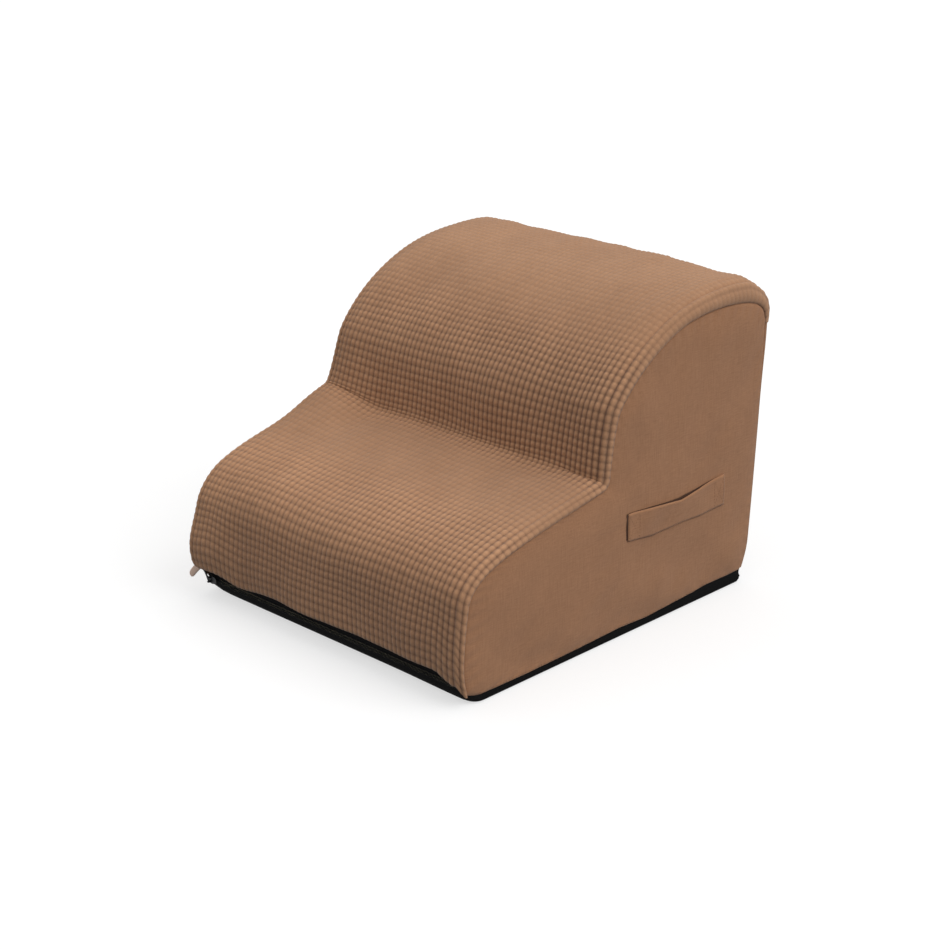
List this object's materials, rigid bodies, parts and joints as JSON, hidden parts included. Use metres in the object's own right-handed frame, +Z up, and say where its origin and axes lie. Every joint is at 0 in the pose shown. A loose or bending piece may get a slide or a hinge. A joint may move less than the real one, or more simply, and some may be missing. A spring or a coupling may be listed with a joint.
{
  "type": "dog ramp",
  "caption": "Padded foam ramp with two rounded steps that lets a small dog climb to a bed or sofa, in a zip-off cloth cover on an anti-slip base.",
  "frame": {"origin": "centre of the bounding box in plan, on the floor under the base", "axes": "+X to the right of somebody facing the low step, +Y from the low step towards the high back, +Z up"},
  "size_m": [0.4201, 0.4626, 0.3414],
  "materials": {
    "waffle_cloth": "matte",
    "side_cloth": "matte",
    "lining_cloth": "matte",
    "foam_firm": "matte",
    "foam_soft": "matte",
    "base_cloth": "matte",
    "zip_tape": "matte",
    "zip_coil": "satin",
    "zip_metal": "satin",
    "pull_tab": "satin"
  },
  "bodies": {
    "base_and_foam": {"base_tray": "base_cloth", "foam_core": "foam_firm", "foam_topper": "foam_soft", "zip_tape_lower": "zip_tape", "zip_coil_lower": "zip_coil", "zip_stop": "zip_metal"},
    "cover": {"cover_lining": "lining_cloth", "top_strip": "waffle_cloth", "back_panel": "side_cloth", "side_panel_left": "side_cloth", "side_panel_right": "side_cloth", "seam_ridge_left": "side_cloth", "seam_ridge_right": "side_cloth", "handle_left": "side_cloth", "handle_right": "side_cloth", "zip_tape_upper": "zip_tape", "zip_coil_upper": "zip_coil"},
    "slider": {"zip_slider": "zip_metal"},
    "pull": {"zip_pull": "pull_tab"}
  },
  "joints": [
    {"name": "cover_lift", "type": "slide", "parent": "base_and_foam", "child": "cover", "axis": [0, 0, 1], "range_m": [0, 0.36]},
    {"name": "zip_slide", "type": "slide", "parent": "base_and_foam", "child": "slider", "axis": [1, 0, 0], "range_m": [0, 0.335]},
    {"name": "pull_turn", "type": "hinge", "parent": "slider", "child": "pull", "pos_m": [-0.1854, -0.21874, 0.018], "axis": [0, 0, 1], "range_deg": [0, 180]}
  ]
}
